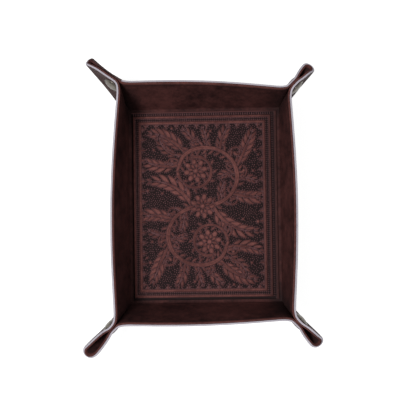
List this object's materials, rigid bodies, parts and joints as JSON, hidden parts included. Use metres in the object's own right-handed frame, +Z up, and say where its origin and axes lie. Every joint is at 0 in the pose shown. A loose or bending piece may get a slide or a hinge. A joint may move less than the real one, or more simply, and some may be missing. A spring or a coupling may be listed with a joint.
{
  "type": "folding leather dice tray",
  "caption": "Shallow rectangular leather tray folded from one lined sheet, with pinched corner ears held by snap fasteners and a tooled floor.",
  "frame": {"origin": "middle of the floor's underside, on the surface the tray stands on", "axes": "+X to the tray's right, +Y to its back (along the longer side), +Z up"},
  "size_m": [0.1576, 0.1984, 0.0376],
  "materials": {
    "outer_leather": "fine-grained, semi-matte, with a pale cut edge",
    "lining_leather": "tooled and antiqued, semi-matte",
    "snap_face": "antiqued, satin",
    "snap_inner": "antiqued, satin",
    "snap_spring": "bright"
  },
  "bodies": {
    "base": {"floor_outer": "outer_leather", "floor_lining": "lining_leather"},
    "wall_right": {"wall_right_outer": "outer_leather", "wall_right_lining": "lining_leather"},
    "wall_left": {"wall_left_outer": "outer_leather", "wall_left_lining": "lining_leather"},
    "wall_back": {"wall_back_outer": "outer_leather", "wall_back_lining": "lining_leather"},
    "wall_front": {"wall_front_outer": "outer_leather", "wall_front_lining": "lining_leather"},
    "ear_back_left_end": {"ear_back_left_end_outer": "outer_leather", "ear_back_left_end_lining": "lining_leather", "snap_back_left_stud": "snap_inner", "snap_back_left_eyelet": "snap_face"},
    "ear_back_left_side": {"ear_back_left_side_outer": "outer_leather", "ear_back_left_side_lining": "lining_leather", "snap_back_left_cap": "snap_face", "snap_back_left_socket": "snap_inner", "snap_back_left_spring": "snap_spring"},
    "ear_back_right_end": {"ear_back_right_end_outer": "outer_leather", "ear_back_right_end_lining": "lining_leather", "snap_back_right_stud": "snap_inner", "snap_back_right_eyelet": "snap_face"},
    "ear_back_right_side": {"ear_back_right_side_outer": "outer_leather", "ear_back_right_side_lining": "lining_leather", "snap_back_right_cap": "snap_face", "snap_back_right_socket": "snap_inner", "snap_back_right_spring": "snap_spring"},
    "ear_front_left_end": {"ear_front_left_end_outer": "outer_leather", "ear_front_left_end_lining": "lining_leather", "snap_front_left_stud": "snap_inner", "snap_front_left_eyelet": "snap_face"},
    "ear_front_left_side": {"ear_front_left_side_outer": "outer_leather", "ear_front_left_side_lining": "lining_leather", "snap_front_left_cap": "snap_face", "snap_front_left_socket": "snap_inner", "snap_front_left_spring": "snap_spring"},
    "ear_front_right_end": {"ear_front_right_end_outer": "outer_leather", "ear_front_right_end_lining": "lining_leather", "snap_front_right_stud": "snap_inner", "snap_front_right_eyelet": "snap_face"},
    "ear_front_right_side": {"ear_front_right_side_outer": "outer_leather", "ear_front_right_side_lining": "lining_leather", "snap_front_right_cap": "snap_face", "snap_front_right_socket": "snap_inner", "snap_front_right_spring": "snap_spring"}
  },
  "joints": [
    {"name": "wall_right_fold", "type": "hinge", "parent": "base", "child": "wall_right", "pos_m": [0.056, 0, 0.0026], "axis": [0, 1, 0], "range_deg": [0, 75]},
    {"name": "wall_left_fold", "type": "hinge", "parent": "base", "child": "wall_left", "pos_m": [-0.056, 0, 0.0026], "axis": [0, -1, 0], "range_deg": [0, 75]},
    {"name": "wall_back_fold", "type": "hinge", "parent": "base", "child": "wall_back", "pos_m": [0, 0.072, 0.0026], "axis": [-1, 0, 0], "range_deg": [0, 67.5]},
    {"name": "wall_front_fold", "type": "hinge", "parent": "base", "child": "wall_front", "pos_m": [0, -0.072, 0.0026], "axis": [1, 0, 0], "range_deg": [0, 67.5]},
    {"name": "ear_back_left_end_fold", "type": "hinge", "parent": "wall_back", "child": "ear_back_left_end", "pos_m": [-0.056, 0.072, 0.0026], "axis": [-0.1325, 0.3063, 0.9427], "range_deg": [0, 38.94]},
    {"name": "ear_back_left_side_fold", "type": "hinge", "parent": "wall_left", "child": "ear_back_left_side", "pos_m": [-0.056, 0.072, 0.0026], "axis": [0.1325, -0.3063, -0.9427], "range_deg": [0, 43.52]},
    {"name": "ear_back_right_end_fold", "type": "hinge", "parent": "wall_back", "child": "ear_back_right_end", "pos_m": [0.056, 0.072, 0.0026], "axis": [-0.1325, -0.3063, -0.9427], "range_deg": [0, 38.94]},
    {"name": "ear_back_right_side_fold", "type": "hinge", "parent": "wall_right", "child": "ear_back_right_side", "pos_m": [0.056, 0.072, 0.0026], "axis": [0.1325, 0.3063, 0.9427], "range_deg": [0, 43.52]},
    {"name": "ear_front_left_end_fold", "type": "hinge", "parent": "wall_front", "child": "ear_front_left_end", "pos_m": [-0.056, -0.072, 0.0026], "axis": [0.1325, 0.3063, -0.9427], "range_deg": [0, 38.94]},
    {"name": "ear_front_left_side_fold", "type": "hinge", "parent": "wall_left", "child": "ear_front_left_side", "pos_m": [-0.056, -0.072, 0.0026], "axis": [-0.1325, -0.3063, 0.9427], "range_deg": [0, 43.52]},
    {"name": "ear_front_right_end_fold", "type": "hinge", "parent": "wall_front", "child": "ear_front_right_end", "pos_m": [0.056, -0.072, 0.0026], "axis": [0.1325, -0.3063, 0.9427], "range_deg": [0, 38.94]},
    {"name": "ear_front_right_side_fold", "type": "hinge", "parent": "wall_right", "child": "ear_front_right_side", "pos_m": [0.056, -0.072, 0.0026], "axis": [-0.1325, 0.3063, -0.9427], "range_deg": [0, 43.52]}
  ],
  "couplings": [
    {"joint": "wall_left_fold", "follows": "wall_right_fold", "ratio": 1},
    {"joint": "wall_back_fold", "follows": "wall_right_fold", "ratio": 0.9},
    {"joint": "wall_front_fold", "follows": "wall_right_fold", "ratio": 0.9},
    {"joint": "ear_back_left_end_fold", "follows": "wall_right_fold", "ratio": 0.51921},
    {"joint": "ear_back_left_side_fold", "follows": "wall_right_fold", "ratio": 0.58031},
    {"joint": "ear_back_right_end_fold", "follows": "wall_right_fold", "ratio": 0.51921},
    {"joint": "ear_back_right_side_fold", "follows": "wall_right_fold", "ratio": 0.58031},
    {"joint": "ear_front_left_end_fold", "follows": "wall_right_fold", "ratio": 0.51921},
    {"joint": "ear_front_left_side_fold", "follows": "wall_right_fold", "ratio": 0.58031},
    {"joint": "ear_front_right_end_fold", "follows": "wall_right_fold", "ratio": 0.51921},
    {"joint": "ear_front_right_side_fold", "follows": "wall_right_fold", "ratio": 0.58031}
  ]
}
